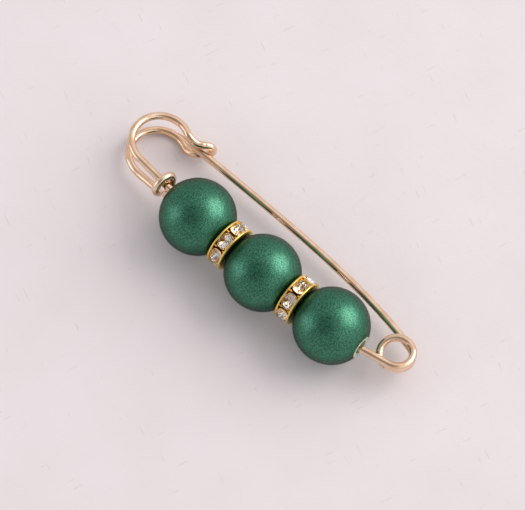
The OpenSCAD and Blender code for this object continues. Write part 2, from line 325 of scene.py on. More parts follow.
@dataclass(frozen=True)
class WireSizes:
    """Sizes of the bent wire, in millimetres and degrees."""

    radius: float = 0.6
    # From the last bead's middle, out of its hole, to the coil
    coil_lead: float = 5.7
    mouth_turn: float = 10.0
    mouth_r: float = 5.0
    mouth_dip: float = 0.4
    coil_run: float = 4.05
    # The coil, whose wire drops to the lower turn and is split there into its two nodes
    coil_r: float = 2.53
    coil_dip: float = 0.65
    coil_turn: float = 512.0
    turn_gap: float = 0.1
    drop_start_turn: float = 180.0
    drop_end_turn: float = 320.0
    split_turn: float = 348.0
    split_gap: float = 0.06
    lower_shift: Pair = (-0.1, 0.25)
    lower_fall: float = 0.13
    # The pin
    pin_len: float = 50.4
    pin_turn: float = 14.4
    pin_rise: float = 0.4
    point_len: float = 4.5
    tip_r: float = 0.09
    # The hook's two strands, from the stem to the free end
    stem_len: float = 4.35
    crook_r: float = 4.7
    crook_turn: float = 85.2
    crown_r: float = 4.43
    crown_turn: float = 116.4
    flare_r: float = 2.5
    flare_turn: float = 68.0
    flare_rise: float = 0.1
    end_len: float = 0.55
    end_gap: float = 2.7
    strand_gap: float = 4.3
    rise_share: float = 1 / 3
    # The wrap round the stem, next to the end bead
    wrap_zone: float = 8.8
    stem_turn: float = 2.4
    tail_gap: float = 3.5
    wrap_r: float = 1.8
    wrap_end_r: float = 1.35
    wrap_turn: float = 330.0
    wrap_reach: float = 7.55
    wrap_advance: float = 1.2
    wrap_skew: float = 0.45
    wrap_start_angle: float = 205.0
    lead_in: float = 1.2
    lead_out: float = 1.3

    @property
    def split_half(self) -> float:
        """Half of the gap between the two nodes, as a turn of the coil in degrees."""
        return float(np.degrees(self.split_gap / 2 / self.coil_r))


@dataclass(frozen=True)
class ArmSizes:
    """Sizes that set the arc of the bead arm, in millimetres."""

    bead_r: float = 6.0
    bead_flat_r: float = 1.9
    spacer_w: float = 2.0
    seat_gap: float = 0.1
    bow: float = 0.42

    @property
    def bead_half(self) -> float:
        """Distance from a bead's middle to the flat round its hole."""
        return float(np.sqrt(self.bead_r**2 - self.bead_flat_r**2))

    @property
    def pitch(self) -> float:
        """Distance between neighbouring beads' middles, along the arm."""
        return 2 * self.bead_half + self.spacer_w + 2 * self.seat_gap

    @property
    def radius(self) -> float:
        """Radius of the arc through the three beads' middles."""
        return (self.pitch**2 + self.bow**2) / (2 * self.bow)

    @property
    def turn(self) -> float:
        """Turn of the arm from one bead's middle to the next, in degrees."""
        return float(np.degrees(np.arcsin(self.pitch / self.radius)))

    def at(self, angle: Array | float) -> Array:
        """Places and headings on the arm, going towards the coil, at angles of its arc."""
        s, c = sin_cos(angle)
        return np.stack([self.radius * s, self.radius - self.bow - self.radius * c, angle + 0 * s], -1)


@dataclass
class Route:
    """Middle line of the wire, in the flat drawing.

    Between two rings the wire goes on for at most ring_step and turns by at most ring_turn.
    """

    wire: WireSizes = field(default_factory=WireSizes)
    arm: ArmSizes = field(default_factory=ArmSizes)
    ring_step: float = 0.5
    ring_turn: float = 4.0
    fewest_rings: int = 6
    lead_rings: int = 14
    pin_rings: int = 46
    # Rings of the point, which lie closer and closer towards the tip by this power
    point_rings: int = 19
    point_power: float = 1.4

    def __post_init__(self) -> None:
        """Works out the places that the other stretches start from."""
        w, a = self.wire, self.arm
        self.lower_level = -w.coil_dip - 2 * w.radius - w.turn_gap
        self.pin_level = self.lower_level - w.lower_fall + w.pin_rise
        self.tail_level = self.strand_level(Strand.UPPER) - w.tail_gap
        self.last_bead = a.at(a.turn)
        self.lead = [
            Stretch(w.coil_lead, 0, -w.mouth_dip),
            Stretch.bend(w.mouth_r, w.mouth_turn, -w.mouth_dip),
            Stretch(w.coil_run, 0, -w.coil_dip),
        ]
        self.coil_start = self.place_after(self.last_bead, self.lead)
        end = a.at(-a.turn)
        self.end_bead = np.array([end[0], end[1], 180 - a.turn])
        self.stem = self.place_after(self.end_bead, [self.zone])

    @property
    def zone(self) -> Stretch:
        """The stretch from the end bead's middle to the straight stem."""
        return Stretch(self.wire.wrap_zone, -self.wire.stem_turn, self.strand_level(Strand.UPPER))

    def strand_level(self, strand: Strand) -> float:
        """Level of a strand round the crook."""
        return self.pin_level + (0.5 - strand.value) * self.wire.strand_gap

    @staticmethod
    def place_after(start: Array, parts: list[Stretch]) -> Array:
        """Drives along stretches.

        Args:
            start: place and heading at the start.
            parts: the stretches.

        Returns:
            Place and heading after the last one.
        """
        for part in parts:
            start = drive(start, part.length, part.turn)[0]
        return start

    def trace(self, start: Array, level: float, parts: list[Stretch]) -> Array:
        """Points along stretches, the level of each going over in an S-curve.

        Args:
            start: place and heading at the start.
            level: level at the start.
            parts: the stretches.

        Returns:
            Rows (x, y, level), without the point they start from.
        """
        rows = []
        for part in parts:
            needed = part.length / self.ring_step, abs(part.turn) / self.ring_turn
            n = int(np.ceil(max(self.fewest_rings, *needed)))
            t = np.arange(1, n + 1) / n
            places = drive(start, part.length * t, part.turn * t)
            places[:, 2] = level + (part.level - level) * ease(t)
            rows.append(places)
            start, level = drive(start, part.length, part.turn)[0], part.level
        return np.vstack(rows)

    def coil(self, start: float, end: float) -> Array:
        """Points of the coil between two turns from its start.

        Each lies on a circle to the left of the coil's start. Between two of its turns the wire sinks
        by an S-curve to the lower turn, which sits a little aside, and from the split it falls slowly.

        Args:
            start: the first turn, in degrees.
            end: the last turn.

        Returns:
            Rows (x, y, level).
        """
        w = self.wire
        n = int(np.ceil((end - start) / self.ring_turn))
        t = np.linspace(start, end, n + 1)
        s0, c0 = sin_cos(self.coil_start[2])
        s, c = sin_cos(self.coil_start[2] + t)
        drop = ease((t - w.drop_start_turn) / (w.drop_end_turn - w.drop_start_turn))
        fall = ease((t - w.split_turn) / (w.coil_turn - w.split_turn))
        return np.stack([
            self.coil_start[0] + w.coil_r * (s - s0) + w.lower_shift[0] * drop,
            self.coil_start[1] - w.coil_r * (c - c0) + w.lower_shift[1] * drop,
            -w.coil_dip + (self.lower_level + w.coil_dip) * drop - w.lower_fall * fall,
        ], -1)

    def crook(self, strand: Strand) -> list[Stretch]:
        """Stretches of one strand from the stem to the hook's end.

        Args:
            strand: which strand.

        Returns:
            Stem, crook, crown, flare and end.
        """
        w = self.wire
        level = self.strand_level(strand)
        side = 1 - 2 * strand.value
        return [
            Stretch(w.stem_len, 0, level + strand.value * w.rise_share * (self.tail_level - level)),
            Stretch.bend(w.crook_r, -w.crook_turn, level),
            Stretch.bend(w.crown_r, -w.crown_turn, level),
            Stretch.bend(w.flare_r, w.flare_turn, self.pin_level + side * (w.end_gap / 2 + w.flare_rise)),
            Stretch(w.end_len, 0, self.pin_level + side * w.end_gap / 2),
        ]

    def end_turn(self) -> Array:
        """Half a turn that joins the strands: out by cos a and up by sin a, from 90 to -90 degrees.

        Returns:
            Rows (x, y, level), without the ends of the strands.
        """
        half = self.wire.end_gap / 2
        x, y, heading = self.place_after(self.stem, self.crook(Strand.UPPER))
        n = int(np.ceil(180 / self.ring_turn))
        s, c = sin_cos(90 - 180 * np.arange(1, n) / n)
        ahead = sin_cos(heading)
        out = c * half
        return np.stack([x + out * ahead[1], y + out * ahead[0], self.pin_level + s * half], -1)

    def round_stem(self, reach: Array, angle: Array, radius: Array) -> Array:
        """Points round the upper strand near the end bead.

        Args:
            reach: distance along the strand from the end bead's middle.
            angle: angle round the strand in degrees, where 90 is up.
            radius: distance from the strand's middle.

        Returns:
            Rows (x, y, level).
        """
        w = self.wire
        p = drive(self.end_bead, reach, -w.stem_turn * reach / w.wrap_zone)
        (s, c), (sh, ch) = sin_cos(angle), sin_cos(p[:, 2])
        level = self.strand_level(Strand.UPPER) * ease(reach / w.wrap_zone)
        return np.stack([p[:, 0] + radius * c * sh, p[:, 1] - radius * c * ch, level + radius * s], -1)

    def wrap(self) -> Array:
        """Points of the wrap, a helix that leans over and draws in to its cut end.

        The reach falls evenly with a half wave of skew on it, and the radius falls in an S-curve.

        Returns:
            Rows (x, y, level).
        """
        w = self.wire
        t = np.linspace(0, 1, int(np.ceil(w.wrap_turn / self.ring_turn)) + 1)
        reach = w.wrap_reach - w.wrap_advance * t + w.wrap_skew * sin_cos(180 * t)[0]
        radius = w.wrap_r + (w.wrap_end_r - w.wrap_r) * ease(t)
        return self.round_stem(reach, w.wrap_start_angle - w.wrap_turn * t, radius)

    def lead_points(self, wrap: Array) -> Array:
        """A curve with four control points from the lower strand's end to the wrap's start.

        With u = 1 - t, a point is u cubed a + 3 t u squared b + 3 t squared u c + t cubed d.

        Args:
            wrap: points of the wrap.

        Returns:
            Rows (x, y, level), without the wrap's first one.
        """
        w = self.wire
        s, c = sin_cos(self.stem[2])
        tail = np.array([self.stem[0], self.stem[1], self.tail_level])
        leave = tail - w.lead_in * np.array([c, s, 0])
        arrive = wrap[0] - w.lead_out * unit(wrap[1] - wrap[0])
        t = np.linspace(0, 1, self.lead_rings)[:-1, None]
        u = 1 - t
        return u**3 * tail + 3 * t * u**2 * leave + 3 * t**2 * u * arrive + t**3 * wrap[0]

    def frame_line(self) -> Array:
        """The fixed wire: coil's upper turn, bead arm, upper strand, hook's end, lower strand and wrap.

        Returns:
            Rows (x, y, level).
        """
        w, a = self.wire, self.arm
        arm = a.at(np.linspace(a.turn, -a.turn, int(2 * a.pitch / self.ring_step)))
        arm[:, 2] = 0
        wrap = self.wrap()
        return np.vstack([
            self.coil(0, w.split_turn - w.split_half)[::-1],
            self.trace(self.last_bead, 0, self.lead)[:-1][::-1],
            arm,
            self.trace(self.end_bead, 0, [self.zone, *self.crook(Strand.UPPER)]),
            self.end_turn(),
            self.trace(self.stem, self.tail_level, self.crook(Strand.LOWER))[::-1],
            self.lead_points(wrap),
            wrap,
        ])

    def pin_line(self, tongue: float) -> Array:
        """The moving wire: coil's lower turn and the pin, which bends most near the coil.

        Its heading grows by the pin's turn times 1 less the cube of the share of the way left, and
        each step between two rings is an arc, as drive makes it.

        Args:
            tongue: turn of the coil that the wire reaches back into the fixed wire, in degrees.

        Returns:
            Rows (x, y, level).
        """
        w = self.wire
        turn = np.vstack([
            self.coil(w.split_turn - w.split_half - tongue, w.split_turn + w.split_half)[:-1],
            self.coil(w.split_turn + w.split_half, w.coil_turn),
        ])
        marks = np.concatenate([
            np.linspace(0, w.pin_len - w.point_len, self.pin_rings, endpoint=False),
            w.pin_len - w.point_len * np.linspace(1, 0, self.point_rings) ** self.point_power,
        ])
        heading = self.coil_start[2] + w.coil_turn + w.pin_turn * (1 - (1 - marks / w.pin_len) ** 3)
        s, c = sin_cos(heading)
        r = np.diff(marks) / np.radians(np.diff(heading))
        steps = np.stack([r * np.diff(s), -r * np.diff(c)], -1)
        level = self.lower_level - w.lower_fall + w.pin_rise * marks[1:] / w.pin_len
        return np.vstack([turn, np.column_stack([turn[-1, :2] + np.cumsum(steps, axis=0), level])])


@dataclass(frozen=True)
class Place:
    """Where a piece's own frame lies in the row frame: it turns and moves it.

    A point goes to origin + x ahead + y aside + z up.
    """

    origin: Array
    axes: Array

    def put(self, surface: Surface) -> Surface:
        """A surface of the piece's own frame in the row frame."""
        return surface.moved(self.origin + surface.points @ self.axes, surface.own)


@dataclass
class Lay:
    """How the flat drawing lies on the surface: leant about the bead arm, centred, on its beads."""

    route: Route
    line: Array = field(init=False)

    def __post_init__(self) -> None:
        """Works out the lean and the brooch's middle.

        The lean is the least turn about the bead arm that brings a point of the wire down to the
        surface: asin((R - r) / d) - atan2(-z, y), where d is the point's distance from the arm.
        """
        w, a = self.route.wire, self.route.arm
        self.line = self.route.frame_line()
        y, z = self.line[:, 1], self.line[:, 2]
        reach = np.hypot(y, z)
        far = reach > a.bead_r - w.radius
        turn = np.arcsin((a.bead_r - w.radius) / reach[far]) - np.arctan2(-z[far], y[far])
        self.lean = float(turn.min())
        across = np.concatenate([self.across(self.line), self.across(self.route.pin_line(0))])
        self.middle = (
            float(self.line[:, 0].min() + self.line[:, 0].max()) / 2,
            float(across.max() + w.radius - a.bow * np.cos(self.lean) - a.bead_r) / 2,
        )

    def across(self, points: Array) -> Array:
        """Distance across the arm on the surface: y cos lean + z sin lean."""
        return points[:, 1] * np.cos(self.lean) + points[:, 2] * np.sin(self.lean)

    @property
    def turn(self) -> Array:
        """Rows that carry the flat drawing's axes into the row frame."""
        s, c = np.sin(self.lean), np.cos(self.lean)
        return np.array([[1.0, 0.0, 0.0], [0.0, c, -s], [0.0, s, c]])

    def laid(self, points: Array) -> Array:
        """Points of the flat drawing in the row frame, in millimetres."""
        return points @ self.turn + [-self.middle[0], -self.middle[1], self.route.arm.bead_r]

    def on_arm(self, share: float) -> Place:
        """A place on the bead arm.

        Args:
            share: how far along, where 0 is the middle bead and 1 the last one.

        Returns:
            The place, with its x axis along the arm.
        """
        arm = self.route.arm
        x, y, heading = arm.at(arm.turn * share)
        s, c = sin_cos(heading)
        axes = np.array([[c, s, 0], [-s, c, 0], [0, 0, 1]]) @ self.turn
        return Place(self.laid(np.array([[x, y, 0.0]]))[0], axes)


# Finishes


def linear(colour: str) -> Colour:
    """Linear colour of an sRGB value: c / 12.92 up to 0.04045, and ((c + 0.055) / 1.055) ** 2.4 above.

    Args:
        colour: the hex value, such as #c08040.

    Returns:
        Red, green, blue and 1.
    """
    values = np.array([int(colour[i:i + 2], 16) for i in (1, 3, 5)]) / 255
    low, high = values / 12.92, ((values + 0.055) / 1.055) ** 2.4
    return (*np.where(values <= 0.04045, low, high).tolist(), 1.0)


def add_node(
    tree: Tree,
    kind: str,
    settings: Settings | None = None,
    links: Links | None = None,
    output: str | int = 0,
) -> Socket:
    """Adds a node with its settings and links.

    Args:
        tree: the node tree.
        kind: the node's type, without its ShaderNode prefix.
        settings: values of its properties, or of its inputs by name or number.
        links: sockets that feed its inputs, by name or number.
        output: name or number of the output that is wanted.

    Returns:
        That output.
    """
    node = tree.nodes.new("ShaderNode" + kind)
    for name, value in (settings or {}).items():
        if isinstance(name, str) and hasattr(node, name):
            setattr(node, name, value)
        else:
            node.inputs[name].default_value = value
    for name, socket in (links or {}).items():
        tree.links.new(socket, node.inputs[name])
    return node.outputs[output]


def graded(
    tree: Tree,
    pattern: Socket,
    places: Pair,
    ends: Pair | tuple[str | Socket, str | Socket],
    smooth: bool = False,
) -> Socket:
    """A number or a colour that goes from one end to the other as a pattern goes between two places.

    Args:
        tree: the node tree.
        pattern: the pattern's value.
        places: its values at the ends.
        ends: two numbers, or two colours, each an sRGB hex value or a socket.
        smooth: whether it eases in and out.

    Returns:
        The number or the colour.
    """
    numbers = all(isinstance(end, float) for end in ends)
    settings: Settings = {
        "interpolation_type": "SMOOTHSTEP" if smooth else "LINEAR",
        "From Min": places[0],
        "From Max": places[1],
        "To Min": ends[0] if numbers else 0.0,
        "To Max": ends[1] if numbers else 1.0,
    }
    share = add_node(tree, "MapRange", settings, {"Value": pattern})
    if numbers:
        return share
    # A Mix node's colours are its inputs 6 and 7 and its output 2
    inputs = dict(zip((6, 7), ends))
    flat: Settings = {n: linear(end) for n, end in inputs.items() if isinstance(end, str)}
    fed: Links = {n: end for n, end in inputs.items() if isinstance(end, Socket)}
    return add_node(tree, "Mix", {"data_type": "RGBA"} | flat, {0: share} | fed, 2)


def grain(
    tree: Tree,
    cell_mm: float | Triple,
    detail: float = 2.0,
    roughness: float = 0.5,
    turn: float = 0.0,
) -> Socket:
    """Cloudy noise on the piece's own millimetres.

    Args:
        tree: the node tree.
        cell_mm: size of a cell, one for all axes or one for each.
        detail: number of finer layers on it.
        roughness: strength of the finer layers.
        turn: turn of the cells about the z axis, in degrees.

    Returns:
        The noise, from 0 to 1.
    """
    own = add_node(tree, "Attribute", {"attribute_name": OWN}, output="Vector")
    # A mapping of this kind turns back and then divides by its scale
    cells: Settings = {
        "vector_type": "TEXTURE",
        "Rotation": (0.0, 0.0, float(np.radians(-turn))),
        "Scale": tuple(np.broadcast_to(cell_mm, 3).tolist()),
    }
    place = add_node(tree, "Mapping", cells, {"Vector": own})
    layers: Settings = {"Scale": 1.0, "Detail": detail, "Roughness": roughness}
    return add_node(tree, "TexNoise", layers, {"Vector": place})


def relief(tree: Tree, *layers: tuple[Socket, float]) -> Socket:
    """A normal that stands for one pattern's relief on another's.

    Args:
        tree: the node tree.
        layers: each pattern and the depth of its 1 in millimetres, the lowest layer first.

    Returns:
        The normal.
    """
    below: Links = {}
    for pattern, depth_mm in layers:
        depth: Settings = {"Strength": 1.0, "Distance": depth_mm * MM}
        below = {"Normal": add_node(tree, "Bump", depth, {"Height": pattern} | below)}
    return below["Normal"]


def distance_from_axis(tree: Tree) -> Socket:
    """Distance from the piece's x axis in millimetres, which is the length of its own y and z.

    Args:
        tree: the node tree.

    Returns:
        The distance.
    """
    own = add_node(tree, "Attribute", {"attribute_name": OWN}, output="Vector")
    flat = add_node(tree, "VectorMath", {"operation": "MULTIPLY", 1: (0.0, 1.0, 1.0)}, {0: own})
    return add_node(tree, "VectorMath", {"operation": "LENGTH"}, {0: flat}, "Value")


@dataclass(frozen=True)
class Finish:
    """A finish: its name and how it is built."""

    name: str = "finish"

    def build(self) -> bpy.types.Material:
        """Builds the material.

        Returns:
            The material, one shader with what dress gives it.
        """
        material = bpy.data.materials.new(self.name)
        material.use_nodes = True
        tree = material.node_tree
        tree.nodes.clear()
        shader = add_node(tree, "BsdfPrincipled", *self.dress(tree))
        tree.links.new(shader, tree.nodes.new("ShaderNodeOutputMaterial").inputs["Surface"])
        return material

    def dress(self, tree: Tree) -> tuple[Settings, Links]:
        """The shader's flat values, and the patterns that feed its other inputs."""
        raise NotImplementedError


@dataclass(frozen=True)
class RoseGoldPlate(Finish):
    """Pale rose gold plating on drawn brass wire, polished.

    It gives soft mirror streaks along the wire, broken by the die's fine drawing lines, with paler
    and pinker patches where the plating is thinner.
    """

    name: str = "rose_gold_plated_wire"
    pale: str = "#f5dabd"
    pink: str = "#e2b997"
    polish: Pair = (0.06, 0.15)
    # Spacing of the drawing lines round the wire; real ones are ten times as fine
    line_mm: float = 0.16
    line_len_mm: float = 9.0
    line_depth_mm: float = 0.004
    line_range: Pair = (0.3, 0.75)
    patch_mm: float = 2.6
    patch_range: Pair = (0.3, 0.7)

    def dress(self, tree: Tree) -> tuple[Settings, Links]:
        """Metal of two close golds, rougher along the drawing lines.

        Args:
            tree: the node tree.

        Returns:
            The shader's flat values and its links.
        """
        patches = grain(tree, self.patch_mm, detail=3.0)
        line_mm = self.line_len_mm, self.line_mm, self.line_mm
        lines = grain(tree, line_mm, detail=3.0, roughness=0.65)
        return {"Metallic": 1.0}, {
            "Base Color": graded(tree, patches, self.patch_range, (self.pale, self.pink)),
            "Roughness": graded(tree, lines, self.line_range, self.polish),
            "Normal": relief(tree, (lines, self.line_depth_mm)),
        }


@dataclass(frozen=True)
class SatinPaint(Finish):
    """Satin metallic paint sprayed on a moulded acrylic bead, bare round the hole.

    Fine flakes give a frosted, softly glowing green with faint rub marks. The flat that the bead was
    held by stays unpainted and shows the pale acrylic, with a ragged edge of paint.
    """

    name: str = "satin_green_paint"
    deep: str = "#1d513e"
    bright: str = "#45896c"
    edge: str = "#162e26"
    bare: str = "#a9bba8"
    metal: float = 0.92
    polish: Pair = (0.3, 0.39)
    coat: float = 0.45
    coat_roughness: float = 0.28
    # Flakes are 0.05 mm; drawn coarser, so that the grain shows in the picture
    flake_mm: float = 0.19
    flake_depth_mm: float = 0.018
    flake_range: Pair = (0.32, 0.68)
    # Rub marks are longer along the bead's hole than across it
    rub_mm: Triple = (2.25, 0.9, 0.3)
    rub_depth_mm: float = 0.01
    rub_range: Pair = (0.3, 0.7)
    # Radii between which the paint starts, and how far its edge strays
    paint_start: Pair = (1.87, 1.95)
    ragged_mm: float = 0.09

    def dress(self, tree: Tree) -> tuple[Settings, Links]:
        """Metal flake colour, with its own roughness, and bare acrylic on the flat and in the hole.

        Args:
            tree: the node tree.

        Returns:
            The shader's flat values and its links.
        """
        flakes = grain(tree, self.flake_mm, detail=1.0)
        rubs = grain(tree, self.rub_mm, detail=4.0, roughness=0.7)
        stray = graded(tree, rubs, (0.0, 1.0), (-self.ragged_mm, self.ragged_mm))
        away = add_node(tree, "Math", {"operation": "ADD"}, {0: distance_from_axis(tree), 1: stray})
        colour = graded(tree, flakes, self.flake_range, (self.deep, self.bright))
        flat: Settings = {
            "Specular Tint": linear(self.edge),
            "Coat Weight": self.coat,
            "Coat Roughness": self.coat_roughness,
        }
        return flat, {
            "Base Color": graded(tree, away, self.paint_start, (self.bare, colour), smooth=True),
            "Metallic": graded(tree, away, self.paint_start, (0.0, self.metal), smooth=True),
            "Roughness": graded(tree, rubs, self.rub_range, self.polish),
            "Normal": relief(tree, (flakes, self.flake_depth_mm), (rubs, self.rub_depth_mm)),
        }


@dataclass(frozen=True)
class YellowGoldPlate(Finish):
    """Bright yellow gold plating on a stamped brass spacer.

    The rims shine, and the colour darkens to a painted shade of brown towards the drum, in the channel behind
    the stones.
    """

    name: str = "yellow_gold_plated_spacer"
    bright: str = "#f6cf74"
    # Painted shade: the brown that stands for the shade in the channel behind the stones
    shaded: str = "#96571a"
    # Radii between which the painted shade of brown turns to the gold's own bright yellow
    painted_shade_radii: Pair = (2.7, 3.6)
    polish: Pair = (0.23, 0.37)
    wave_mm: float = 0.7
    wave_depth_mm: float = 0.02
    pit_mm: float = 0.12
    pit_depth_mm: float = 0.003
    pit_range: Pair = (0.3, 0.75)

    def dress(self, tree: Tree) -> tuple[Settings, Links]:
        """Metal that goes from a painted shade of brown at the drum to yellow at the rim, with a stamped
        unevenness.

        Args:
            tree: the node tree.

        Returns:
            The shader's flat values and its links.
        """
        away = distance_from_axis(tree)
        waves, pits = grain(tree, self.wave_mm), grain(tree, self.pit_mm)
        return {"Metallic": 1.0}, {
            # Painted shade: brown towards the drum, the gold's own yellow at the rim
            "Base Color": graded(tree, away, self.painted_shade_radii, (self.shaded, self.bright), smooth=True),
            "Roughness": graded(tree, pits, self.pit_range, self.polish),
            "Normal": relief(tree, (pits, self.pit_depth_mm), (waves, self.wave_depth_mm)),
        }


@dataclass(frozen=True)
class CutGlass(Finish):
    """Clear cut glass of a rhinestone: sharp glints on its facets, and the foil seen through it."""

    name: str = "clear_cut_glass"
    tint: str = "#fdfdfd"
    refraction: float = 1.52
    polish: Pair = (0.0, 0.05)
    wear_mm: float = 0.4
    wear_range: Pair = (0.4, 0.8)

    def dress(self, tree: Tree) -> tuple[Settings, Links]:
        """Clear glass with a little grease and wear in its roughness.

        Args:
            tree: the node tree.

        Returns:
            The shader's flat values and its links.
        """
        flat: Settings = {
            "Base Color": linear(self.tint),
            "Transmission Weight": 1.0,
            "IOR": self.refraction,
        }
        wear = grain(tree, self.wear_mm, detail=3.0)
        return flat, {"Roughness": graded(tree, wear, self.wear_range, self.polish)}


@dataclass(frozen=True)
class MirrorFoil(Finish):
    """Silver foil on the back facets of a rhinestone, with clouds of gold brown painted in as a reflection of
    the gold setting.
    """

    name: str = "silver_foil_back"
    silver: str = "#f4f2f1"
    # Painted reflection of the gold plates and cups, laid on the foil in random clouds
    painted_gold_reflection: str = "#c69c62"
    roughness: float = 0.08
    # Size and range of the clouds of painted reflection
    cloud_mm: float = 0.8
    cloud_range: Pair = (0.47, 0.62)

    def dress(self, tree: Tree) -> tuple[Settings, Links]:
        """Mirror metal with gold brown clouds of painted reflection.

        Args:
            tree: the node tree.

        Returns:
            The shader's flat values and its links.
        """
        colour = graded(tree, grain(tree, self.cloud_mm), self.cloud_range, (self.silver, self.painted_gold_reflection))
        return {"Metallic": 1.0, "Roughness": self.roughness}, {"Base Color": colour}


@dataclass(frozen=True)
class PalePaper(Finish):
    """Plain pale card under the brooch, matt, with a barely visible tooth and a few fibres."""

    name: str = "pale_card"
    pale: str = "#eae2e4"
    deeper: str = "#e6dedf"
    fibre: str = "#ded3cb"
    roughness: float = 0.9
    shine: float = 0.2
    tooth_mm: float = 1.4
    tooth_depth_mm: float = 0.03
    cloud_mm: float = 16.0
    cloud_range: Pair = (0.35, 0.7)
    # Length and width of a fibre, and the two ways that the fibres lie, in degrees
    fibre_mm: Pair = (4.0, 0.35)
    fibre_ways: Pair = (25.0, 110.0)
    # High up in the noise, so that the fibres are sparse
    fibre_range: Pair = (0.71, 0.76)

    def dress(self, tree: Tree) -> tuple[Settings, Links]:
        """Matt card with a soft cloud in its colour, and fibres that are a little darker.

        Args:
            tree: the node tree.

        Returns:
            The shader's flat values and its links.
        """
        tooth = grain(tree, self.tooth_mm, detail=3.0, roughness=0.6)
        clouds = grain(tree, self.cloud_mm, detail=3.0)
        colour = graded(tree, clouds, self.cloud_range, (self.pale, self.deeper))
        for turn in self.fibre_ways:
            fibres = grain(tree, (*self.fibre_mm, 1.0), roughness=0.4, turn=turn)
            colour = graded(tree, fibres, self.fibre_range, (colour, self.fibre), smooth=True)
        flat: Settings = {"Roughness": self.roughness, "Specular IOR Level": self.shine}
        return flat, {"Base Color": colour, "Normal": relief(tree, (tooth, self.tooth_depth_mm))}


@dataclass
class Finishes:
    """All materials of the object, each built once."""

    wire: bpy.types.Material = field(default_factory=lambda: RoseGoldPlate().build())
    paint: bpy.types.Material = field(default_factory=lambda: SatinPaint().build())
    gold: bpy.types.Material = field(default_factory=lambda: YellowGoldPlate().build())
    glass: bpy.types.Material = field(default_factory=lambda: CutGlass().build())
    foil: bpy.types.Material = field(default_factory=lambda: MirrorFoil().build())


# Sub-assemblies


def settle(piece: bpy.types.Object, body: str, node: str) -> None:
    """Rides a piece on a body, and lets it stand for a node.

    Args:
        piece: the finished piece.
        body: the body that it moves with.
        node: the CAD node that it stands for.
    """
    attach(piece, body)
    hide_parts(node)
    mesh = piece.data
    points = np.empty(3 * len(mesh.vertices), np.float32)
    mesh.vertices.foreach_get("co", points)
    points = points.reshape(-1, 3)
    low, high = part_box(node)
    over = max((np.array(low) - points.min(0)).max(), (points.max(0) - np.array(high)).max()) / MM
    log.info(
        "%s rides on %s, %d faces, past its node's box by %.3f mm",
        piece.name, body, len(mesh.polygons), over,
    )


@dataclass
class BentWire:
    """The one bent wire, in its fixed and its moving part.

    The moving part reaches back into the fixed one by a thin tongue, so that the coil shows no gap
    when the pin swings.
    """

    lay: Lay
    sides: int = 32
    end_round: float = 0.14
    tip_round: float = 0.07
    tip_steps: int = 7
    # Room between the last ring that is kept and the first one of a rounding
    ring_room: float = 0.02
    tongue_turn: float = 11.0
    tongue_thin: float = 0.02
    # Share of a ring's step on which the tongue grows to the full wire
    tongue_step: float = 0.001

    @staticmethod
    def rounded(radii: Array, left: Array, edge: float) -> Array:
        """Radii that draw in near an end by a quarter circle.

        With d the distance left to the end and e the edge's radius, the radius loses
        e - sqrt(e squared - (e - d) squared) where d is below e.

        Args:
            radii: the full radii.
            left: distance left to the end at each ring.
            edge: the edge's radius.

        Returns:
            The radii.
        """
        d = np.clip(left, 0, edge)
        return radii - edge + np.sqrt(np.maximum(edge**2 - (edge - d) ** 2, 0))

    def refined(self, line: Array, edge: float) -> tuple[Array, Array]:
        """Puts close rings at a line's last end.

        Args:
            line: the line.
            edge: radius of the end's rounding.

        Returns:
            The line, and the distance left to its end at each ring.
        """
        reach = distances(line)
        close = reach[-1] - edge * (1 - sin_cos(np.linspace(0, 90, self.tip_steps))[0])
        kept = reach[reach < reach[-1] - edge - self.ring_room]
        places = np.concatenate([kept, close])
        finer = np.stack([np.interp(places, reach, line[:, k]) for k in range(3)], -1)
        return finer, reach[-1] - places

    def frame_surface(self) -> Surface:
        """The fixed wire, with a rounded cut end.

        Returns:
            The surface.
        """
        line, left = self.refined(self.lay.line, self.end_round)
        radii = self.rounded(np.full(len(line), self.lay.route.wire.radius), left, self.end_round)
        return swept(self.lay.laid(line), radii, self.sides)

    def pin_surface(self) -> Surface:
        """The moving wire, full to the point and then drawn in by a parabola to a rounded tip.

        With u the share of the point's length left, its radius is tip + (full - tip) (1 - (1 - u)
        squared). The tongue is thinner, up to a ring just before the first one of the full wire.

        Returns:
            The surface.
        """
        w = self.lay.route.wire
        line = self.lay.route.pin_line(self.tongue_turn)
        tongue = int(np.ceil((self.tongue_turn + 2 * w.split_half) / self.lay.route.ring_turn))
        step = (1 - self.tongue_step) * line[tongue] + self.tongue_step * line[tongue - 1]
        line = np.vstack([line[:tongue], step, line[tongue:]])
        reach = distances(line)
        line, left = self.refined(line, self.tip_round)
        u = np.clip(left / w.point_len, 0, 1)
        radii = w.tip_r + (w.radius - w.tip_r) * (1 - (1 - u) ** 2)
        radii = self.rounded(radii, left, self.tip_round)
        on_tongue = reach[-1] - left < (reach[tongue] + reach[tongue + 1]) / 2
        return swept(self.lay.laid(line), np.where(on_tongue, radii - self.tongue_thin, radii), self.sides)

    def build(self, finishes: Finishes) -> None:
        """Makes both parts.

        Args:
            finishes: the object's materials.
        """
        for name, surface, body, node in (
            ("bent_wire", self.frame_surface(), "frame", "frame_wire"),
            ("pin", self.pin_surface(), "pin", "pin_arm"),
        ):
            settle(make_piece(name, surface, [finishes.wire]), body, node)


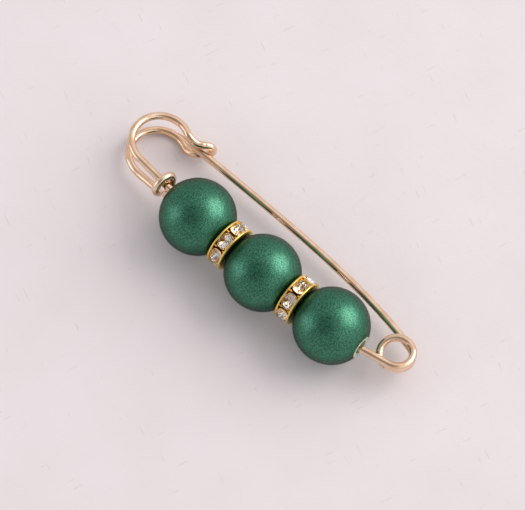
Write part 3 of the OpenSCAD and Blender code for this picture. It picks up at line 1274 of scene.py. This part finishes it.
@dataclass
class SatinBead:
    """A round bead with a bored hole, and a flat round each end of it."""

    lay: Lay
    number: int
    hole_r: float = 1.2
    edge_r: float = 0.12
    count: int = 144
    sphere_steps: int = 84
    edge_steps: int = 6
    flat_steps: int = 4
    wall_steps: int = 9
    # Degrees of the sphere, and width of the flat, that are left out between them as a soft edge
    soft_turn: float = 1.2
    soft_w: float = 0.06
    # Room between the flat's or the wall's own points and the lip of the hole
    flat_room: float = 0.1
    wall_room: float = 1.0

    def profile(self) -> Array:
        """The section: a sphere's arc, soft edges on both flats, and the hole's wall.

        Returns:
            Closed ring of points (x, r).
        """
        arm = self.lay.route.arm
        half, e = arm.bead_half, self.edge_r
        tilt = np.degrees(np.arcsin(arm.bead_flat_r / arm.bead_r)) + self.soft_turn
        sphere = arc((0, 0), arm.bead_r, 180 - tilt, tilt, self.sphere_steps)
        flat_r = np.linspace(arm.bead_flat_r - self.soft_w, self.hole_r + e + self.flat_room, self.flat_steps)
        flat = np.stack([np.full(self.flat_steps, half), flat_r], -1)
        lip = arc((half - e, self.hole_r + e), e, 0, -90, self.edge_steps)
        side = np.vstack([flat, lip])
        wall_x = np.linspace(half - self.wall_room, self.wall_room - half, self.wall_steps)
        wall = np.stack([wall_x, np.full(self.wall_steps, self.hole_r)], -1)
        return np.vstack([sphere, side, wall, (side * [-1, 1])[::-1]])

    def build(self, finishes: Finishes) -> None:
        """Makes the bead.

        Args:
            finishes: the object's materials.
        """
        # Bead 2 is the middle one
        surface = self.lay.on_arm(self.number - 2).put(turned(self.profile(), self.count))
        piece = make_piece(f"satin_bead_{self.number}", surface, [finishes.paint])
        settle(piece, "frame", f"bead_{self.number}")


@dataclass
class StoneCut:
    """A cushion-shaped brilliant with its table up, and its middle at the top of the girdle.

    Its rings lie on ovals with full corners. With as many points as the table has sides are the
    table, the crown points between them, and the pavilion points; the girdle's two rings have twice
    as many, and the culet is one point.
    """

    length: float = 2.55
    fullness: float = 3.0
    width: float = 1.88
    sides: int = 8
    table_share: float = 0.58
    crown_h: float = 0.42
    girdle_h: float = 0.14
    pavilion_h: float = 0.8
    crown_share: float = 0.79
    pavilion_share: float = 0.3
    digits: int = 12

    def outline(self, degrees: Array) -> tuple[Array, Array]:
        """The outline at angles, in half widths and half lengths: f(cos a) and f(sin a).

        f keeps the sign of its value and raises its size to the power 2 / fullness. The values are
        rounded first, so that a nought has no sign.

        Args:
            degrees: the angles.

        Returns:
            Places across and along the stone.
        """
        s, c = (wave.round(self.digits) for wave in sin_cos(degrees))
        power = 2 / self.fullness
        return np.sign(c) * np.abs(c) ** power, np.sign(s) * np.abs(s) ** power

    def ring(self, share: float, height: float, count: int, turn: float = 0) -> Array:
        """Points of a ring: the outline times a share of the half width and half length.

        Args:
            share: the share.
            height: the ring's height.
            count: number of points.
            turn: how far the points are turned on, in steps from one to the next.

        Returns:
            The points.
        """
        across, around = self.outline(360 * (np.arange(count) + turn) / count)
        half = share * self.width / 2, share * self.length / 2
        return np.stack([half[0] * across, half[1] * around, np.full(count, height)], -1)

    def surface(self) -> Surface:
        """The cut stone: glass on the crown and girdle, and foil behind.

        Returns:
            The closed surface, with finish 0 for glass and 1 for foil.
        """
        m, n = self.sides, 2 * self.sides
        # A ring whose points stand between its neighbours' is larger by this, so that facets lie flat
        kite = np.cos(np.pi / m)
        low = -self.girdle_h
        crown_z = self.crown_h * (1 - self.crown_share) / (1 - self.table_share)
        keel_z = low - self.pavilion_h * (1 - self.pavilion_share)
        points = np.vstack([
            self.ring(self.table_share, self.crown_h, m),
            self.ring(self.crown_share / kite, crown_z, m, 0.5),
            self.ring(1, 0, n),
            self.ring(1, low, n),
            self.ring(self.pavilion_share / kite, keel_z, m, 0.5),
            [[0, 0, low - self.pavilion_h]],
        ])
        j, k = np.arange(m), np.arange(n)
        after, before = (j + 1) % m, (j - 1) % m
        crown, girdle, lower, keel = m, 2 * m, 4 * m, 6 * m
        edge, middle, edge_after = 2 * j, 2 * j + 1, (2 * j + 2) % n
        tip = np.full(m, 7 * m)
        glass = [
            [j, crown + j, after],
            [j, crown + before, girdle + edge, crown + j],
            [crown + j, girdle + edge, girdle + middle],
            [crown + j, girdle + middle, girdle + edge_after],
            [girdle + k, lower + k, lower + (k + 1) % n, girdle + (k + 1) % n],
        ]
        foil = [
            [keel + j, lower + middle, lower + edge],
            [keel + j, lower + edge_after, lower + middle],
            [lower + edge, keel + before, tip, keel + j],
        ]
        stone = Surface(points, points).add(j[None], smooth=False)
        for finish, blocks in enumerate((glass, foil)):
            for corners in blocks:
                stone.add(np.stack(corners, -1), smooth=False, finish=finish)
        return stone


@dataclass
class RhinestoneSpacer:
    """Two plates with rounded rims on a drum, claws and cups between them, and a row of stones."""

    lay: Lay
    number: int
    # Direction of the first stone, in degrees where 90 is up
    phase: float
    outer_r: float = 3.85
    half_w: float = 1.0
    flare: float = 0.38
    hub_r: float = 1.9
    plate_t: float = 0.4
    crest_in: float = 0.5
    rim_round: float = 0.6
    drum_r: float = 2.3
    hole_r: float = 0.85
    edge_r: float = 0.06
    count: int = 112
    edge_steps: int = 5
    dish_steps: int = 10
    rim_steps: int = 12
    # The claws, and the share of the quarter turn at which a small flat closes a claw's head
    claw_r: float = 0.17
    claw_len: float = 0.45
    claw_sink: float = 0.6
    claw_sides: int = 14
    claw_steps: int = 8
    claw_close: float = 0.97
    # How far the tables lie inside the rims, and the cups' lips below the girdles
    table_in: float = 0.04
    cup_in: float = 0.05
    cup_wall: float = 0.07
    cup_clear: float = 0.012
    cup_sink: float = 0.1
    cup_waist_r: float = 2.75
    cup_lip: float = 0.03
    # Size of the cup at the drum, as a share of the stone's
    cup_foot: float = 0.5
    cup_count: int = 40
    stones: int = 7
    cut: StoneCut = field(default_factory=StoneCut)
    # Distance between two stones' places in their glass's pattern
    pattern_step: float = 10.0

    @property
    def inside(self) -> float:
        """Distance from the spacer's middle to the inside of a plate."""
        return self.half_w + self.flare - self.plate_t

    @property
    def girdle_r(self) -> float:
        """Distance of the stones' girdles from the axis."""
        return self.outer_r - self.table_in - self.cut.crown_h

    def half_profile(self) -> Array:
        """Section of the coil's half: bore, dished plate, rounded rim, and drum.

        The dish goes out to the rim's crest in an S-curve, and the rim is a quarter of an oval.

        Returns:
            Points (x, r) from the drum back to the bore.
        """
        out, e, n = self.half_w + self.flare, self.edge_r, self.edge_steps
        t = np.linspace(0, 1, self.dish_steps)
        s, c = sin_cos(90 * np.linspace(0, 1, self.rim_steps)[1:])
        bore = arc((self.half_w - e, self.hole_r + e), e, -90, 0, n)
        dish_r = self.hub_r + (self.outer_r - self.crest_in - self.hub_r) * t
        dish = np.stack([self.half_w + self.flare * ease(t), dish_r], -1)
        rim_x = out - self.rim_round * self.plate_t * (1 - c)
        rim = np.stack([rim_x, self.outer_r - self.crest_in * (1 - s)], -1)
        lip = arc((self.inside + e, self.outer_r - e), e, 90, 180, n)
        foot = arc((self.inside - e, self.drum_r + e), e, 0, -90, n)
        return np.vstack([bore, dish, rim, lip, foot])[::-1]

    def body(self) -> Surface:
        """The plates and the drum, turned about the axis."""
        right = self.half_profile()
        return turned(np.vstack([right, (right * [-1, 1])[::-1]]), self.count)

    def around(self, surface: Surface, angle: float) -> Surface:
        """Turns a surface whose z points away from the axis.

        Args:
            surface: the surface.
            angle: the direction that its z goes to, in degrees where 90 is up.

        Returns:
            The surface, with its points as its own coordinates.
        """
        s, c = sin_cos(angle)
        points = surface.points @ np.array([[1, 0, 0], [0, s, -c], [0, c, s]], float)
        return surface.moved(points, points)

    def claw(self, side: Side) -> Surface:
        """A claw from one plate, a short rod with a round head: its radius closes as a half circle.

        Args:
            side: the plate's side.

        Returns:
            The surface, with its z away from the axis.
        """
        head, root = self.claw_r, self.plate_t / 2
        ends = np.linspace(0, 90, self.claw_steps)
        reach = np.concatenate([[0.0], self.claw_len + root - head + head * sin_cos(ends)[0]])
        radii = np.concatenate([[head], head * sin_cos(ends * self.claw_close)[1]])
        x = side.value * (self.inside + root - reach)
        line = np.stack([x, np.zeros_like(x), np.full_like(x, self.outer_r - self.claw_sink)], -1)
        return swept(line, radii, self.claw_sides)

    def cup(self) -> Surface:
        """The thin cup that holds a stone, with its outline, wider at the girdle than at the drum.

        Each row is an outline whose half axes go from the foot's to the stone's, by the square root
        of the way up; outer wall, lip and inner wall are rows of one grid.

        Returns:
            The closed surface, with its z away from the axis.
        """
        foot, waist, wall = self.drum_r - self.cup_sink, self.cup_waist_r, self.cup_wall
        top = self.girdle_r - self.cup_in
        lip = top - self.cup_lip
        height = np.array([foot, waist, lip, top, lip, waist, foot])
        extra = np.array([wall, wall, wall, wall / 2, *(self.cup_clear,) * 3])
        way_up = np.clip((height - self.drum_r) / (top - self.drum_r), 0, 1)
        grow = self.cup_foot + (1 - self.cup_foot) * np.sqrt(way_up)
        across, around = self.cut.outline(np.linspace(0, 360, self.cup_count, endpoint=False))
        x = (self.cut.width / 2 * grow + extra)[:, None] * across
        y = (self.cut.length / 2 * grow + extra)[:, None] * around
        z = np.broadcast_to(height[:, None], x.shape)
        points = np.stack([x, y, z], -1).reshape(-1, 3)
        return Surface(points, points).add(grid_faces(len(height), self.cup_count, closed_rows=True))

    def angle(self, place: float) -> float:
        """Direction of a stone, counted from 1, or of the gap half a place on."""
        return self.phase + 360 * (place - 1) / self.stones

    def build(self, finishes: Finishes) -> None:
        """Makes the metal in one piece and each stone as its own.

        Args:
            finishes: the object's materials.
        """
        # Each spacer is half a place from the middle bead
        place = self.lay.on_arm(self.number - 1.5)
        parts = [self.body()]
        for k in range(1, self.stones + 1):
            parts += [self.around(self.claw(side), self.angle(k + 0.5)) for side in Side]
            parts.append(self.around(self.cup(), self.angle(k)))
        metal = make_piece(f"spacer_setting_{self.number}", place.put(joined(parts)), [finishes.gold])
        settle(metal, "frame", f"spacer_{self.number}")
        for k in range(1, self.stones + 1):
            stone = self.cut.surface()
            own = stone.own + self.pattern_step * k
            stone = self.around(stone.moved(stone.points + [0, 0, self.girdle_r], own), self.angle(k))
            stone = place.put(stone.moved(stone.points, own))
            piece = make_piece(f"rhinestone_{self.number}_{k}", stone, [finishes.glass, finishes.foil])
            settle(piece, "frame", f"stone_{self.number}_{k}")


# The room


@dataclass(frozen=True)
class SoftLight:
    """A square soft light that looks at the brooch.

    Its way is given as parts to the right, away from the camera and up, and its distance and side in
    metres.
    """

    name: str
    way: Triple
    distance: float
    side: float
    watts: float
    colour: str


@dataclass
class Studio:
    """Floor, light and camera.

    The camera looks down at 67 degrees. Its right-hand direction and the way it looks, on the
    surface, are those at which the three beads stand in the picture.
    """

    lay: Lay
    elevation: float = 67.0
    right: Pair = (0.7486, 0.663)
    pixels_per_mm: float = 6.5667
    # Where the middle bead's place on a straight arm is in the picture
    arm_middle: Pair = (264.525, 271.1)
    distance_mm: float = 1300.0
    sensor_mm: float = 36.0
    # Nearest and farthest that the camera sees, and half the card's side, in metres
    clip: Pair = (0.05, 20.0)
    card_half: float = 1.5
    lights: tuple[SoftLight, ...] = (
        SoftLight("key_light", (0.78, 0.2, 0.59), 0.9, 0.7, 4.5, "#fffaf6"),
        SoftLight("fill_light", (-0.95, 0.02, 0.3), 0.8, 0.5, 0.8, "#f6f4ff"),
    )
    room_colour: str = "#f4f2f4"
    # Way to the bright wall: to the right, away from the camera and up
    wall: Triple = (0.8, 0.05, 0.6)
    # Angles from it at which the wall starts and is full
    wall_edge: Pair = (85.0, 30.0)
    # Strength of the room's glow elsewhere and on the wall
    glow: Pair = (0.71, 1.15)
    # The same for the dark patch overhead, which stands for the camera and its stand
    patch: Triple = (-0.2, -0.3, 0.92)
    patch_edge: Pair = (42.0, 16.0)
    patch_glow: Pair = (1.0, 0.42)

    def axes(self) -> tuple[Array, Array, Array]:
        """The camera's axes.

        Returns:
            Its right, its up, and the way it looks.
        """
        s, c = sin_cos(self.elevation)
        right = np.array([*self.right, 0.0])
        away = np.array([-self.right[1], self.right[0], 0.0])
        up = np.array([0.0, 0.0, 1.0])
        return right, s * away + c * up, c * away - s * up

    def camera(self) -> None:
        """Puts the camera where the drawing's origin falls on its place in the picture."""
        right, up, ahead = self.axes()
        origin = self.lay.laid(np.zeros((1, 3)))[0]
        dx = (PICTURE[0] / 2 - self.arm_middle[0]) / self.pixels_per_mm
        dy = (self.arm_middle[1] - PICTURE[1] / 2) / self.pixels_per_mm
        target = origin + dx * right + dy * up
        data = bpy.data.cameras.new("camera")
        data.sensor_width = self.sensor_mm
        data.lens = self.sensor_mm * self.distance_mm * self.pixels_per_mm / PICTURE[0]
        data.clip_start, data.clip_end = self.clip
        camera = bpy.data.objects.new("camera", data)
        bpy.context.scene.collection.objects.link(camera)
        place = Matrix(np.stack([right, up, -ahead]).T.tolist()).to_4x4()
        place.translation = Vector(((target - self.distance_mm * ahead) * MM).tolist())
        camera.matrix_world = place
        bpy.context.scene.camera = camera

    def direction(self, way: Triple) -> Array:
        """A direction in the row frame.

        Args:
            way: its parts to the right, away from the camera and up.

        Returns:
            The direction, of length 1.
        """
        x, y = self.right
        return unit(np.array(way) @ np.array([[x, y, 0.0], [-y, x, 0.0], [0.0, 0.0, 1.0]]))

    def light(self, soft: SoftLight) -> None:
        """Sets up a light, which looks at the row frame's origin.

        Args:
            soft: the light.
        """
        data = bpy.data.lights.new(soft.name, "AREA")
        data.size, data.energy, data.color = soft.side, soft.watts, linear(soft.colour)[:3]
        lamp = bpy.data.objects.new(soft.name, data)
        bpy.context.scene.collection.objects.link(lamp)
        spot = Vector((self.direction(soft.way) * soft.distance).tolist())
        lamp.matrix_world = Matrix.Translation(spot) @ spot.to_track_quat("Z", "Y").to_matrix().to_4x4()

    def towards(self, tree: Tree, way: Triple, angles: Pair, values: Pair) -> Socket:
        """A smooth change of the room's glow with the angle from a way.

        Args:
            tree: the node tree.
            way: the way, as parts to the right, away from the camera and up.
            angles: the angles between which the value changes, in degrees.
            values: the value at each of them.

        Returns:
            The value.
        """
        seen = add_node(tree, "TexCoord", output="Generated")
        centre: Settings = {"operation": "DOT_PRODUCT", 1: self.direction(way).tolist()}
        near = add_node(tree, "VectorMath", centre, {0: seen}, "Value")
        return graded(tree, near, tuple(sin_cos(np.array(angles))[1].tolist()), values, smooth=True)

    def room(self) -> bpy.types.World:
        """The room's own glow, the product of the bright wall's and the dark patch's.

        Returns:
            The world.
        """
        world = bpy.data.worlds.new("room")
        world.use_nodes = True
        tree = world.node_tree
        glow = tree.nodes["Background"].inputs
        glow["Color"].default_value = linear(self.room_colour)
        wall = self.towards(tree, self.wall, self.wall_edge, self.glow)
        patch = self.towards(tree, self.patch, self.patch_edge, self.patch_glow)
        strength = add_node(tree, "Math", {"operation": "MULTIPLY"}, {0: wall, 1: patch})
        tree.links.new(strength, glow["Strength"])
        return world

    def build(self) -> None:
        """Makes the floor, the lights, the room's glow and the camera."""
        corners = np.array([[-1, -1, 0], [1, -1, 0], [1, 1, 0], [-1, 1, 0]]) * self.card_half / MM
        card = make_piece("card", Surface(corners, corners).add(np.arange(4)[None]), [PalePaper().build()])
        for soft in self.lights:
            self.light(soft)
        scene = bpy.context.scene
        scene.world = self.room()
        scene.view_settings.view_transform = "Standard"
        scene.view_settings.look = "None"
        self.camera()


def main() -> None:
    """Builds the brooch and its room."""
    lay = Lay(Route())
    log.info("lean %.3f degrees, middle %.3f %.3f mm", np.degrees(lay.lean), *lay.middle)
    finishes = Finishes()
    BentWire(lay).build(finishes)
    for number in (1, 2, 3):
        SatinBead(lay, number).build(finishes)
    for number, phase in ((1, 116.0), (2, 133.0)):
        RhinestoneSpacer(lay, number, phase).build(finishes)
    Studio(lay).build()


if __name__ == "__main__":
    main()
